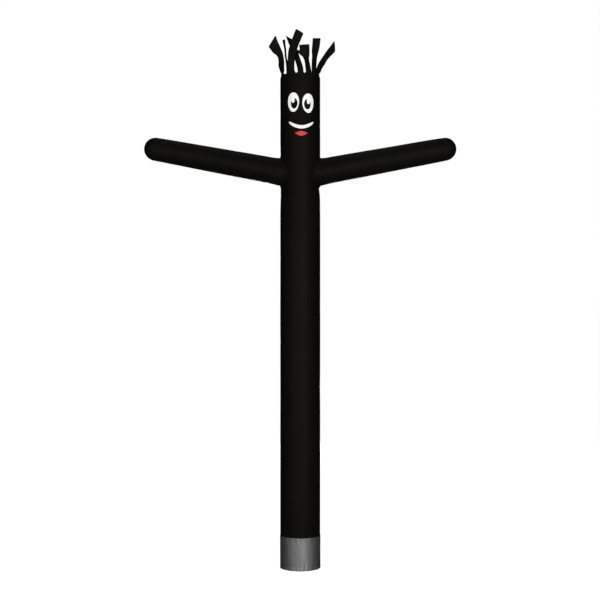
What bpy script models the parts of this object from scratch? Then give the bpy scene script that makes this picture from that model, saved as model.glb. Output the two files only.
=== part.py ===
"""Inflatable air dancer: a straight cloth tube with two raised arms, a face and loose hair strips.

Metres, +Z up. The origin is on the tube's axis, on the ground. The face looks towards -Y.
Angles round the tube start at the front, at -Y, and grow towards +X.
"""

import math

import bmesh
import bpy
from mathutils import Vector

# Cloth
CLOTH = 0.002  # wall of the inflated pieces
PATCH_CLOTH = 0.001  # pieces of the face
HAIR_CLOTH = 0.0015
GAP = 0.0003  # between neighbouring pieces
SIDES = 64  # flat faces round the tube

# Tube
TUBE_RADIUS = 0.2286
HEAD_TOP = 5.617
SHOULDER_HEIGHT = 5.576  # above this the top seam draws the tube in
SHOULDER_DRAW = 0.010

# Collar that fastens over the blower's outlet
COLLAR_HEIGHT = 0.370
COLLAR_CLOTH = 0.002
HEM_DEPTH = 0.035
HEM_PROUD = 0.001

# Crown, with the vent that lets the air out
CROWN_SINK = 0.006  # depth of the crown's seam below the tube's upper edge
CROWN_RISE = 0.034
CROWN_SKIRT = 0.018
VENT_RADIUS = 0.080
DOME_STEPS = 6

# Arms
ARM_HEIGHT = 4.518  # where an arm's centre line meets the tube's side
ARM_RISE = math.radians(10.4)
ARM_ROOT_RADIUS = 0.152
ARM_TIP_RADIUS = 0.1335
ARM_LENGTH = 1.447  # from the tube's side to the centre of the round tip
ARM_BURIED = 0.12  # length inside the tube before the root is trimmed to it
ARM_FLARE = 0.005  # extra radius at the seam with the tube
ARM_FLARE_LENGTH = 0.10  # from the tube's side outwards
ARM_SIDES = 40
TIP_ARC_STEPS = 6

# Hair
BAND_DEPTH = 0.028
STRIP_ACROSS = 4  # quads across a strip
STRIP_ALONG = 10  # quads along a strip
TIP_BOW_SHARE = 0.35  # what is left at the tip of the bow that the rim gives a strip's root
GAP_CORNER_STEP = math.radians(5)  # widest step between the band's corners where no strip grows
BAND_CLEARANCE = 0.0005

# One row for each strip, in millimetres and degrees. Widths are at the root and the tip, and the
# middle and tip are points of the centre line. A turn is the plan angle of the strip's width, from
# +X towards +Y, and at the root it is the root's own angle. cut is how far the right-hand corner of
# the end stands ahead of the left one.
STRIPS = (
    # root_deg, root_w, (middle x, y, z), middle_turn, (tip x, y, z), tip_turn, tip_w, cut
    (-67, 76, (-219, -112, 5782), -36, (-317, -125, 5986), -8, 122, 70),
    (-29, 88, (-98, -218, 5827), -12, (-6, -205, 6089), 6, 98, -18),
    (1, 68, (-45, -180, 5812), -34, (-126, -112, 6031), -56, 90, -104),
    (26, 70, (74, -228, 5766), 48, (46, -272, 5922), 2, 112, -12),
    (45.5, 74, (163, -160, 5808), 42, (187, -150, 6019), 12, 92, 14),
    (66, 86, (272, -95, 5784), 36, (392, -105, 5933), 24, 92, -78),
    (106, 74, (232, 84, 5735), 104, (322, 168, 5880), 98, 88, 20),
    (150, 74, (54, 186, 5847), 121, (-91, 110, 5975), 126, 84, -20),
    (176, 74, (36, 292, 5672), 180, (48, 322, 5470), 196, 86, 25),
    (196, 72, (-104, 216, 5790), 240, (-86, 216, 6000), 252, 86, -20),
    (219, 70, (-158, 172, 5837), 256, (-190, 150, 6066), 250, 82, -8),
    (258, 74, (-222, 62, 5752), 262, (-262, 132, 5930), 268, 86, -35),
)

# Face: flat sizes of the cut pieces. Places are measured round the tube from the front, and up.
EYES = (
    # name, place round, height of centre, half width, half height
    ("left", -0.0810, 5.284, 0.0675, 0.1090),
    ("right", 0.0930, 5.272, 0.0690, 0.1095),
)
EYE_NARROWING = 0.07  # share by which an eye is narrower low down and wider high up
PUPILS = (
    # name, place round, height of centre, place round of the notch, notch's lowest point
    ("left", -0.0695, 5.270, -0.0825, 5.277),
    ("right", 0.0825, 5.261, 0.0945, 5.263),
)
PUPIL_HALF_WIDTH = 0.0390
PUPIL_HALF_HEIGHT = 0.0590
NOTCH_WIDTH = 0.035
SMILE_PLACE = 0.0120
SMILE_TIP_HEIGHT = 5.066
SMILE_HALF_WIDTH = 0.1460
SMILE_UPPER_SAG = 0.042
SMILE_LOWER_SAG = 0.085
SMILE_BLUNTNESS = 0.4  # 0 gives two plain bows, and more makes the tips fuller
LIP_PLACE = 0.0110
LIP_TIP_HEIGHT = 4.936
LIP_HALF_WIDTH = 0.0750
LIP_RISE = 0.026
LIP_DROP = 0.043
OUTLINE_STEPS = 36


def clear_scene():
    for obj in list(bpy.data.objects):
        bpy.data.objects.remove(obj, do_unlink=True)


def new_collection(name, hidden=False):
    made = bpy.data.collections.new(name)
    made.hide_render = hidden
    bpy.context.scene.collection.children.link(made)
    return made


def new_material(name, color, roughness):
    made = bpy.data.materials.new(name)
    made.use_nodes = True
    shader = made.node_tree.nodes["Principled BSDF"]
    shader.inputs["Base Color"].default_value = (*color, 1.0)
    shader.inputs["Roughness"].default_value = roughness
    shader.inputs["Metallic"].default_value = 0.0
    return made


def new_object(name, bm, collection, material=None):
    """The bmesh as a smooth-shaded object of its own."""
    mesh = bpy.data.meshes.new(name)
    bm.to_mesh(mesh)
    bm.free()
    mesh.shade_smooth()
    mesh.set_sharp_from_angle(angle=math.radians(35))
    obj = bpy.data.objects.new(name, mesh)
    collection.objects.link(obj)
    if material:
        mesh.materials.append(material)
    else:
        obj.display_type = "WIRE"
        obj.hide_render = True
    return obj


def add_wall(obj, thickness, offset):
    """Gives an open surface its thickness: offset -1 grows inwards, 1 outwards."""
    wall = obj.modifiers.new("Wall", "SOLIDIFY")
    wall.thickness = thickness
    wall.offset = offset
    return wall


def add_boolean(obj, other, operation):
    made = obj.modifiers.new(operation.title(), "BOOLEAN")
    made.operation = operation
    made.solver = "EXACT"
    made.object = other
    return made


def open_tube(radius, low, high):
    """An open tube about the Z axis whose flat faces line up with every other one about it."""
    bm = bmesh.new()
    bmesh.ops.create_cone(
        bm, cap_ends=False, segments=SIDES, radius1=radius, radius2=radius, depth=high - low
    )
    bmesh.ops.translate(bm, verts=bm.verts, vec=(0, 0, (low + high) / 2))
    return bm


def raise_edges(bm, edges):
    """Extrudes the edges, and gives the set of the new points."""
    raised = bmesh.ops.extrude_edge_only(bm, edges=edges)["geom"]
    return {item for item in raised if isinstance(item, bmesh.types.BMVert)}


def solid_tube(name, radius, low, high, cutters):
    """A closed cylinder, to trim what must stay outside the tube."""
    bm = bmesh.new()
    bmesh.ops.create_cone(
        bm, cap_ends=True, segments=SIDES, radius1=radius, radius2=radius, depth=high - low
    )
    bmesh.ops.translate(bm, verts=bm.verts, vec=(0, 0, (low + high) / 2))
    return new_object(name, bm, cutters)


def turned(name, profile, steps, collection, material=None):
    """A profile of (radius, height) points, listed from the top down, turned about local Z."""
    bm = bmesh.new()
    verts = [bm.verts.new((radius, 0, height)) for radius, height in profile]
    for first, second in zip(verts, verts[1:]):
        bm.edges.new((first, second))
    obj = new_object(name, bm, collection, material)
    screw = obj.modifiers.new("Turn", "SCREW")
    screw.steps = screw.render_steps = steps
    screw.use_merge_vertices = True
    screw.merge_threshold = 0.0001
    screw.use_smooth_shade = True
    return obj


# ---- arms -------------------------------------------------------------------------------------


def arm_turn(side):
    """Rotation that lays local +Z along an arm. side is 1 for the arm at +X and -1 for the other."""
    return (0, side * (math.pi / 2 - ARM_RISE), 0)


def arm_radius(along):
    return ARM_ROOT_RADIUS + (ARM_TIP_RADIUS - ARM_ROOT_RADIUS) * along / ARM_LENGTH


def make_arm(name, side, trim, collection, material):
    """A tapered sleeve with a round tip, trimmed at its root to the tube's side."""
    tip = [
        (ARM_TIP_RADIUS * math.cos(turn), ARM_LENGTH + ARM_TIP_RADIUS * math.sin(turn))
        for turn in (math.pi / 2 * (1 - k / TIP_ARC_STEPS) for k in range(TIP_ARC_STEPS + 1))
    ]
    tip[0] = (0, ARM_LENGTH + ARM_TIP_RADIUS)
    root = [
        (arm_radius(ARM_FLARE_LENGTH), ARM_FLARE_LENGTH),
        (arm_radius(0) + ARM_FLARE, 0),
        (arm_radius(0) + ARM_FLARE, -ARM_BURIED),
    ]
    arm = turned(name, tip + root, ARM_SIDES, collection, material)
    arm.location = (side * TUBE_RADIUS, 0, ARM_HEIGHT)
    arm.rotation_euler = arm_turn(side)
    add_wall(arm, CLOTH, -1)
    add_boolean(arm, trim, "DIFFERENCE")
    return arm


def arm_hole(side, cutters):
    """Cutter for the round hole that lets the air into an arm, as wide as the arm is inside."""
    bm = bmesh.new()
    radius = ARM_ROOT_RADIUS + ARM_FLARE - CLOTH
    bmesh.ops.create_cone(
        bm,
        cap_ends=True,
        segments=ARM_SIDES,
        radius1=radius,
        radius2=radius,
        depth=2 * ARM_BURIED,
    )
    cutter = new_object(f"arm_hole_{'right' if side > 0 else 'left'}", bm, cutters)
    cutter.location = (side * TUBE_RADIUS, 0, ARM_HEIGHT)
    cutter.rotation_euler = arm_turn(side)
    return cutter


# ---- tube, crown and collar -------------------------------------------------------------------


def radius_at(height):
    """The tube's outer radius, which the seam at the head's top draws in a little."""
    return TUBE_RADIUS - SHOULDER_DRAW * max(0, height - SHOULDER_HEIGHT) / (HEAD_TOP - SHOULDER_HEIGHT)


def make_tube(collection, cutters, material):
    """The long tube, from inside the collar's upper hem to the head's drawn-in top."""
    bm = open_tube(TUBE_RADIUS, COLLAR_HEIGHT - HEM_DEPTH, SHOULDER_HEIGHT)
    upper = [edge for edge in bm.edges if min(v.co.z for v in edge.verts) > SHOULDER_HEIGHT - GAP]
    drawn_in = radius_at(HEAD_TOP) / TUBE_RADIUS
    shoulder = list(raise_edges(bm, upper))
    bmesh.ops.translate(bm, verts=shoulder, vec=(0, 0, HEAD_TOP - SHOULDER_HEIGHT))
    bmesh.ops.scale(bm, verts=shoulder, vec=(drawn_in, drawn_in, 1))
    bmesh.ops.recalc_face_normals(bm, faces=bm.faces)
    tube = new_object("body_tube", bm, collection, material)
    add_wall(tube, CLOTH, -1)
    for side in (1, -1):
        add_boolean(tube, arm_hole(side, cutters), "DIFFERENCE")
    return tube


def make_crown(collection, material):
    """A shallow dome inside the tube's upper edge, with a turned-down skirt and a round vent."""
    inset = CLOTH + 2 * GAP
    seam = HEAD_TOP - CROWN_SINK
    rim = radius_at(seam) - inset
    dome = []
    for k in range(DOME_STEPS + 1):
        radius = VENT_RADIUS + (rim - VENT_RADIUS) * k / DOME_STEPS
        dome.append((radius, seam + CROWN_RISE * (1 - (radius / rim) ** 2)))
    skirt_low = seam - CROWN_SKIRT
    profile = dome + [(radius_at(skirt_low) - inset, skirt_low)]
    crown = turned("crown", profile, SIDES, collection, material)
    add_wall(crown, CLOTH, -1)
    return crown


def make_collar(collection, material):
    """The grey collar: a sleeve with a hem at each end, lapped over the tube's lower edge."""
    inner = TUBE_RADIUS + GAP
    outer = inner + COLLAR_CLOTH
    hem = outer + HEM_PROUD
    profile = [
        (inner, COLLAR_HEIGHT),
        (hem, COLLAR_HEIGHT),
        (hem, COLLAR_HEIGHT - HEM_DEPTH),
        (outer, COLLAR_HEIGHT - HEM_DEPTH - HEM_PROUD),
        (outer, HEM_DEPTH + HEM_PROUD),
        (hem, HEM_DEPTH),
        (hem, 0),
        (inner, 0),
        (inner, COLLAR_HEIGHT),
    ]
    return turned("collar", profile, SIDES, collection, material)


# ---- face -------------------------------------------------------------------------------------


def oval(half_width, half_height, narrowing=0.0):
    """Points of an upright oval that is narrower low down by the given share."""
    points = []
    for k in range(OUTLINE_STEPS):
        turn = 2 * math.pi * k / OUTLINE_STEPS
        wide = half_width * (1 + narrowing * math.sin(turn))
        points.append((wide * math.cos(turn), half_height * math.sin(turn)))
    return points


def bowed(half_width, upper, lower, bluntness=0.0):
    """Points between two bows that meet at their tips, (-half_width, 0) and (half_width, 0).

    upper and lower are the heights of the two bows in the middle."""
    half_steps = OUTLINE_STEPS // 2
    points = []
    for height, start, power in ((lower, -1, 2 + bluntness), (upper, 1, 2 - bluntness)):
        for k in range(half_steps):
            along = start * (1 - 2 * k / half_steps)
            points.append((half_width * along, height * (1 - abs(along) ** power)))
    return points


def slot(width, lowest, top):
    """Points of an upright slot with a round lower end."""
    radius = width / 2
    steps = OUTLINE_STEPS // 3
    points = [(radius, top), (-radius, top)]
    for k in range(steps + 1):
        turn = math.pi * (1 + k / steps)
        points.append((radius * math.cos(turn), lowest + radius * (1 + math.sin(turn))))
    return points


def cut_prism(name, outline, place, height, collection, material=None):
    """A flat outline laid round the tube's front and drawn out into a prism that crosses its wall.

    The outline's points are (round the tube, up) from the given place and height."""
    bm = bmesh.new()
    near, far = -1.2 * TUBE_RADIUS, -0.35 * TUBE_RADIUS  # in front of the wall, and well inside it
    verts = []
    for across, up in outline:
        turn = (place + across) / TUBE_RADIUS
        verts.append(bm.verts.new((TUBE_RADIUS * math.sin(turn), near, height + up)))
    face = bm.faces.new(verts)
    drawn = bmesh.ops.extrude_face_region(bm, geom=[face])
    moved = [item for item in drawn["geom"] if isinstance(item, bmesh.types.BMVert)]
    bmesh.ops.translate(bm, verts=moved, vec=(0, far - near, 0))
    bmesh.ops.recalc_face_normals(bm, faces=bm.faces)
    return new_object(name, bm, collection, material)


def face_layer(name, level, cutters):
    """The thin shell that the face pieces of one layer are cut from. Level 0 lies on the tube."""
    inner = TUBE_RADIUS + GAP + level * (PATCH_CLOTH + GAP)
    low = LIP_TIP_HEIGHT - 0.2
    shell = new_object(name, open_tube(inner, low, HEAD_TOP), cutters)
    add_wall(shell, PATCH_CLOTH, 1)
    return shell


def make_face(collection, cutters, white, black, red):
    lower = face_layer("face_layer_lower", 0, cutters)
    upper = face_layer("face_layer_upper", 1, cutters)

    for name, place, height, half_width, half_height in EYES:
        outline = oval(half_width, half_height, EYE_NARROWING)
        eye = cut_prism(f"eye_{name}", outline, place, height, collection, white)
        add_boolean(eye, lower, "INTERSECT")

    for name, place, height, notch_place, notch_low in PUPILS:
        outline = oval(PUPIL_HALF_WIDTH, PUPIL_HALF_HEIGHT)
        pupil = cut_prism(f"pupil_{name}", outline, place, height, collection, black)
        notch = slot(NOTCH_WIDTH, notch_low - height, 2 * PUPIL_HALF_HEIGHT)
        cutter = cut_prism(f"notch_{name}", notch, notch_place, height, cutters)
        add_boolean(pupil, upper, "INTERSECT")
        add_boolean(pupil, cutter, "DIFFERENCE")

    outline = bowed(SMILE_HALF_WIDTH, -SMILE_UPPER_SAG, -SMILE_LOWER_SAG, SMILE_BLUNTNESS)
    smile = cut_prism("smile", outline, SMILE_PLACE, SMILE_TIP_HEIGHT, collection, white)
    add_boolean(smile, lower, "INTERSECT")

    outline = bowed(LIP_HALF_WIDTH, LIP_RISE, -LIP_DROP)
    lip = cut_prism("lip", outline, LIP_PLACE, LIP_TIP_HEIGHT, collection, red)
    add_boolean(lip, lower, "INTERSECT")


# ---- hair -------------------------------------------------------------------------------------


def plan_direction(degrees):
    turn = math.radians(degrees)
    return Vector((math.cos(turn), math.sin(turn), 0))


def on_rim(angle, height):
    """A point of the band's inner face. The angle is in radians from the front towards +X."""
    radius = radius_at(height) + BAND_CLEARANCE
    return Vector((radius * math.sin(angle), -radius * math.cos(angle), height))


def smooth_point(start, leave, end, arrive, t):
    """A point of the cubic between start and end with the given end tangents."""
    return (
        start * (2 * t**3 - 3 * t**2 + 1)
        + leave * (t**3 - 2 * t**2 + t)
        + end * (3 * t**2 - 2 * t**3)
        + arrive * (t**3 - t**2)
    )


def strip_centre(root, middle, tip, s):
    """The strip's centre line: straight up at the root, then through the middle to the tip."""
    up = Vector((0, 0, (middle - root).length))
    through = (tip - root) / 2
    if s < 0.5:
        return smooth_point(root, up, middle, through, 2 * s)
    return smooth_point(middle, through, tip, tip - middle, 2 * s - 1)


def strip_section(row, s):
    """Points across a strip at share s of its length, from its left edge to its right one."""
    root_deg, root_w, middle, middle_turn, tip, tip_turn, tip_w, cut = row
    angle = math.radians(root_deg)
    root = on_rim(angle, HEAD_TOP)
    middle, tip = Vector(middle) / 1000, Vector(tip) / 1000
    step = 0.01
    centre = strip_centre(root, middle, tip, s)
    ahead = strip_centre(root, middle, tip, min(s + step, 1.0))
    along = (ahead - strip_centre(root, middle, tip, max(s - step, 0.0))).normalized()

    # A strip twists most just above its seam, and again just above its middle.
    if s < 0.5:
        turn = root_deg + (middle_turn - root_deg) * (1 - (1 - 2 * s) ** 2)
    else:
        turn = middle_turn + (tip_turn - middle_turn) * (1 - (2 - 2 * s) ** 2)
    across = plan_direction(turn)
    across = (across - along * across.dot(along)).normalized()
    outward = across.cross(along)

    width = (root_w + (tip_w - root_w) * s * s) / 1000
    root_bow = (1 - math.cos(width / 2 / TUBE_RADIUS)) * TUBE_RADIUS
    bow = root_bow * (1 - (1 - TIP_BOW_SHARE) * s)
    points = []
    for k in range(STRIP_ACROSS + 1):
        share = 2 * k / STRIP_ACROSS - 1
        point = centre + across * (share * width / 2) - outward * (bow * share * share)
        points.append(point + along * (share * cut / 2000 * s**3))
    return points


def strip_edges(row):
    """The angles of a strip's left and right edges at its root, in radians."""
    half = row[1] / 2000 / TUBE_RADIUS
    return math.radians(row[0]) - half, math.radians(row[0]) + half


def raised_copy(vert, new):
    """The one of the new points that an extrusion has raised from this point."""
    return next(edge.other_vert(vert) for edge in vert.link_edges if edge.other_vert(vert) in new)


def make_hair(collection, material):
    """The hair: one band round the head's top edge, with the strips growing out of it."""
    bm = bmesh.new()
    low = HEAD_TOP - BAND_DEPTH

    # The band's lower edge has the corners that the strips need, and more in the gaps between them.
    corners, first_corners = [], []
    for row, after in zip(STRIPS, STRIPS[1:] + STRIPS[:1]):
        left, right = strip_edges(row)
        gap = (strip_edges(after)[0] - right) % (2 * math.pi)
        gap_steps = math.ceil(gap / GAP_CORNER_STEP)
        angles = [left + (right - left) * k / STRIP_ACROSS for k in range(STRIP_ACROSS + 1)]
        angles += [right + gap * k / gap_steps for k in range(1, gap_steps)]
        first_corners.append(len(corners))
        corners += [bm.verts.new(on_rim(angle, low)) for angle in angles]
    edges = [bm.edges.new(pair) for pair in zip(corners, corners[1:] + corners[:1])]
    new = raise_edges(bm, edges)
    top = [raised_copy(vert, new) for vert in corners]
    drawn_in = on_rim(0, HEAD_TOP).y / on_rim(0, low).y
    bmesh.ops.translate(bm, verts=top, vec=(0, 0, BAND_DEPTH))
    bmesh.ops.scale(bm, verts=top, vec=(drawn_in, drawn_in, 1))

    for row, first in zip(STRIPS, first_corners):
        verts = top[first : first + STRIP_ACROSS + 1]
        for level in range(1, STRIP_ALONG + 1):
            edges = [bm.edges.get(pair) for pair in zip(verts, verts[1:])]
            new = raise_edges(bm, edges)
            verts = [raised_copy(vert, new) for vert in verts]
            for vert, point in zip(verts, strip_section(row, level / STRIP_ALONG)):
                vert.co = point

    bmesh.ops.recalc_face_normals(bm, faces=bm.faces)
    bm.normal_update()
    band_face = corners[0].link_faces[0]
    if band_face.normal.dot(band_face.calc_center_median() - Vector((0, 0, low))) < 0:
        bmesh.ops.reverse_faces(bm, faces=bm.faces)
    hair = new_object("hair", bm, collection, material)
    add_wall(hair, HAIR_CLOTH, 1)
    return hair


def main():
    clear_scene()
    parts = new_collection("air_dancer")
    cutters = new_collection("cutters", hidden=True)

    black = new_material("black_nylon", (0.0035, 0.0034, 0.0032), 0.55)
    hair_black = new_material("hair_nylon", (0.004, 0.004, 0.0038), 0.6)
    arm_black = new_material("arm_nylon", (0.0035, 0.0034, 0.0032), 0.55)
    crown_black = new_material("crown_nylon", (0.0035, 0.0034, 0.0032), 0.55)
    grey = new_material("collar_grey", (0.16, 0.16, 0.16), 0.6)
    white = new_material("white_nylon", (0.88, 0.88, 0.87), 0.6)
    pupil_black = new_material("pupil_nylon", (0.004, 0.004, 0.004), 0.6)
    red = new_material("red_nylon", (0.78, 0.06, 0.05), 0.6)

    make_tube(parts, cutters, black)
    make_crown(parts, crown_black)
    make_collar(parts, grey)
    trim = solid_tube("arm_trim", TUBE_RADIUS + GAP, ARM_HEIGHT - 0.5, ARM_HEIGHT + 0.5, cutters)
    make_arm("arm_right", 1, trim, parts, arm_black)
    make_arm("arm_left", -1, trim, parts, arm_black)
    make_face(parts, cutters, white, pupil_black, red)
    make_hair(parts, hair_black)


main()
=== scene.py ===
import math

import bmesh
import bpy
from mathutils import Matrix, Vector, noise


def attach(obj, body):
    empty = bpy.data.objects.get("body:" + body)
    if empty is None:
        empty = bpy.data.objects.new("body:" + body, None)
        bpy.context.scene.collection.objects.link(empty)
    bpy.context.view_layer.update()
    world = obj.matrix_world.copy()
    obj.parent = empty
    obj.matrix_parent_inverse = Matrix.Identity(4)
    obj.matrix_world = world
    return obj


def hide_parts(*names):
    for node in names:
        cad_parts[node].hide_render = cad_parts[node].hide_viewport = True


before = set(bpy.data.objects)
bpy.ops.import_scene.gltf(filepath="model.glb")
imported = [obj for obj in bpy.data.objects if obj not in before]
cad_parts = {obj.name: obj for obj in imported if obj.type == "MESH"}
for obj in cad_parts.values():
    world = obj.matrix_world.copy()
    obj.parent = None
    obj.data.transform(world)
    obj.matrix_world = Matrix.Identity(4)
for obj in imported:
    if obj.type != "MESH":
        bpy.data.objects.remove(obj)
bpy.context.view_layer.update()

# Metres, +Z up. The face looks towards -Y. Angles round the tube start at the front, at -Y,
# and grow towards +X.

scene = bpy.context.scene
turn = 2 * math.pi
sewingReach = 0.00003  # edges this close together are sewn up
crease = {
    "width": 0.23,  # how much of its pitch a crease takes up
    "drift": 4,  # how slowly it wanders, in reaches
    "end": 5,  # where it has died out, in reaches
    "shortest": 0.55,
    "uneven": 1.3,  # how much longer than the shortest the creases get
    "unevenPitch": 1.6,
}


def smoothStep(low, high, value):
    t = min(max((value - low) / (high - low), 0.0), 1.0)
    return t * t * (3 - 2 * t)


def spaced(*runs):
    # places along a cloth from (start, end, step) runs that follow one another
    places = [runs[0][0]]
    for start, end, step in runs:
        count = max(1, round((end - start) / step))
        places += [start + (end - start) * k / count for k in range(1, count + 1)]
    return places


def newCloth():
    bm = bmesh.new()
    bm.loops.layers.uv.new("cloth")
    return bm


def addCloth(bm, across, along, place):
    # a grid of cloth: place(i, j) gives a corner's point, and its place on the flat cut cloth
    grid = bmesh.ops.create_grid(bm, x_segments=across, y_segments=along, size=0.5)
    flats, faces = {}, set()
    for vert in grid["verts"]:
        i = round((vert.co.x + 0.5) * across)
        j = round((vert.co.y + 0.5) * along)
        vert.co, flats[vert] = place(i, j)
        faces.update(vert.link_faces)
    cloth = bm.loops.layers.uv["cloth"]
    for patch in faces:
        for loop in patch.loops:
            loop[cloth].uv = flats[loop.vert]
    return faces


def sewUp(bm):
    # joins the edges that meet, such as a tube's two long ones
    bmesh.ops.remove_doubles(bm, verts=bm.verts, dist=sewingReach)


def addObject(name, bm, material):
    mesh = bpy.data.meshes.new(name)
    bm.to_mesh(mesh)
    bm.free()
    mesh.materials.append(material)
    thing = bpy.data.objects.new(name, mesh)
    scene.collection.objects.link(thing)
    return thing


def clothPiece(name, bm, wall, material, offset=-1):
    piece = addObject(name, bm, material)
    piece.data.shade_smooth()
    cloth = piece.modifiers.new("clothWall", "SOLIDIFY")
    cloth.thickness = wall
    cloth.offset = offset
    print(name, "has", len(piece.data.polygons), "faces")
    return piece


def fitPiece(piece, slot, *nodes):
    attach(piece, "root")
    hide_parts(*nodes)


def trough(away, width):
    # 1 on a line and 0 away from it, with a round bottom
    return math.exp(-((away / width) ** 2))


def noiseThrough(x, y, z):
    return noise.noise(Vector((x, y, z)))


def gathers(x, y, away, folds, extra=0.0):
    # soft creases of uneven length that start at a seam and die out away from it
    pitch, reach, depth, seed = folds
    seed += extra
    if away > crease["end"] * reach:
        return 0.0
    fold = noiseThrough(x / pitch, y / pitch, seed + away / (crease["drift"] * reach))
    wide = crease["unevenPitch"]
    longer = abs(noiseThrough(x / pitch / wide, y / pitch / wide, seed + 9))
    uneven = crease["shortest"] + crease["uneven"] * longer
    return depth * trough(fold, crease["width"]) * math.exp(-away / (reach * uneven))


def newGroup(name, inputs, outputs):
    # an input without a value of its own is a place
    tree = bpy.data.node_groups.new(name, "ShaderNodeTree")
    for label, value in inputs.items():
        kind = "NodeSocketVector" if value is None else "NodeSocketFloat"
        socket = tree.interface.new_socket(label, in_out="INPUT", socket_type=kind)
        if value is not None:
            socket.default_value = value
    for label in outputs:
        tree.interface.new_socket(label, in_out="OUTPUT", socket_type="NodeSocketFloat")
    return tree, tree.nodes.new("NodeGroupInput").outputs, tree.nodes.new("NodeGroupOutput")


def feed(value, socket):
    if isinstance(value, bpy.types.NodeSocket):
        socket.id_data.links.new(value, socket)
    else:
        socket.default_value = value


def feedAll(node, values):
    for label, value in values.items():
        feed(value, node.inputs[label])


def nodeAfter(kind, *values):
    # a node in the same tree as the values that are sockets
    sockets = [value for value in values if isinstance(value, bpy.types.NodeSocket)]
    return sockets[0].id_data.nodes.new(kind)


def newMaterial(name):
    material = bpy.data.materials.new(name)
    material.use_nodes = True
    return material, material.node_tree, material.node_tree.nodes["Principled BSDF"]


def calc(operation, *values, clamp=False):
    node = nodeAfter("ShaderNodeMath", *values)
    node.operation = operation
    node.use_clamp = clamp
    for value, socket in zip(values, node.inputs):
        feed(value, socket)
    return node.outputs[0]


def noiseAt(vector, scale, detail):
    node = nodeAfter("ShaderNodeTexNoise", vector)
    feedAll(node, {"Scale": scale, "Detail": detail, "Vector": vector})
    return node.outputs["Fac"]


def split(vector):
    node = nodeAfter("ShaderNodeSeparateXYZ", vector)
    feed(vector, node.inputs[0])
    return node.outputs


def clothPlace(tree, layer):
    # the place on the flat cut cloth, or along and in from its cut edge
    node = tree.nodes.new("ShaderNodeUVMap")
    node.uv_map = layer
    return node.outputs["UV"]


def mixColour(share, first, second):
    node = nodeAfter("ShaderNodeMix", share)
    node.data_type = "RGBA"
    feed(share, node.inputs["Factor"])
    colours = [socket for socket in node.inputs if socket.type == "RGBA"]
    feed(first, colours[0])
    feed(second, colours[1])
    return next(socket for socket in node.outputs if socket.type == "RGBA")


def offMiddle(place, length):
    # 0 in the middle of each repeat of this length, and 0.5 at its ends
    cell = calc("FRACT", calc("DIVIDE", place, length))
    return calc("ABSOLUTE", calc("SUBTRACT", cell, 0.5))


ripSharpness = 14.0


def makeRipstopGroup():
    inputs = {
        "Cloth Position": None,
        "Thread Spacing": 0.0006,
        "Thread Height": 0.00003,
        "Rib Spacing": 0.006,
        "Rib Height": 0.00009,
    }
    tree, given, out = newGroup("ripstopWeave", inputs, ["Height", "Rib"])
    ribs, waves = [], []
    for place in split(given["Cloth Position"])[:2]:
        edge = calc("MULTIPLY", offMiddle(place, given["Rib Spacing"]), 2.0)
        ribs.append(calc("POWER", edge, ripSharpness))
        threads = calc("DIVIDE", place, given["Thread Spacing"])
        waves.append(calc("SINE", calc("MULTIPLY", threads, turn)))
    rib = calc("MAXIMUM", ribs[0], ribs[1])
    weave = calc("MULTIPLY", waves[0], waves[1])
    ribUp = calc("MULTIPLY", rib, given["Rib Height"])
    height = calc("MULTIPLY_ADD", weave, given["Thread Height"], ribUp)
    feedAll(out, {"Height": height, "Rib": rib})
    return tree


stitch = {
    "length": 0.0045,
    "threadWidth": 0.0012,
    "gap": 2.15,  # 2 leaves none between two stitches
    "endSharpness": 7.0,
    "height": 0.00035,
    "dipWidth": 0.0028,  # the thread pulls the cloth down beside it
    "dipDepth": 0.00030,
}


def makeStitchGroup():
    inputs = {
        "Across": 0.0,
        "Along": 0.0,
        "Stitch Length": stitch["length"],
        "Thread Width": stitch["threadWidth"],
    }
    tree, given, out = newGroup("stitchRow", inputs, ["Thread", "Height"])
    away = calc("ABSOLUTE", given["Across"])
    half = calc("MULTIPLY", given["Thread Width"], 0.5)
    fromMiddle = calc("POWER", calc("DIVIDE", away, half), 2.0)
    body = calc("SUBTRACT", 1.0, fromMiddle, clamp=True)
    end = calc("MULTIPLY", offMiddle(given["Along"], given["Stitch Length"]), stitch["gap"])
    kept = calc("SUBTRACT", 1.0, calc("POWER", end, stitch["endSharpness"]), clamp=True)
    thread = calc("MULTIPLY", calc("POWER", body, 0.5), kept)
    beside = calc("POWER", calc("DIVIDE", away, stitch["dipWidth"]), 2.0)
    dip = calc("DIVIDE", 1.0, calc("ADD", 1.0, calc("MULTIPLY", beside, beside)))
    raised = calc("MULTIPLY", thread, stitch["height"])
    height = calc("MULTIPLY_ADD", dip, -stitch["dipDepth"], raised)
    feedAll(out, {"Thread": thread, "Height": height})
    return tree


wear = {
    "wideScale": 2.2,
    "fineScale": 38.0,
    "speckScale": 120.0,
    "crumpleScale": 14.0,
    "wideShare": 0.6,
    "specks": (0.55, 5.0),  # where they start, and how sharply
    "smears": (0.42, 2.5),
    "smearShare": 0.6,
    "dustAbove": 0.2,  # dust that is left high above the ground
}
dustColour = (0.16, 0.14, 0.11, 1)
mottleShare = 0.6


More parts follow.
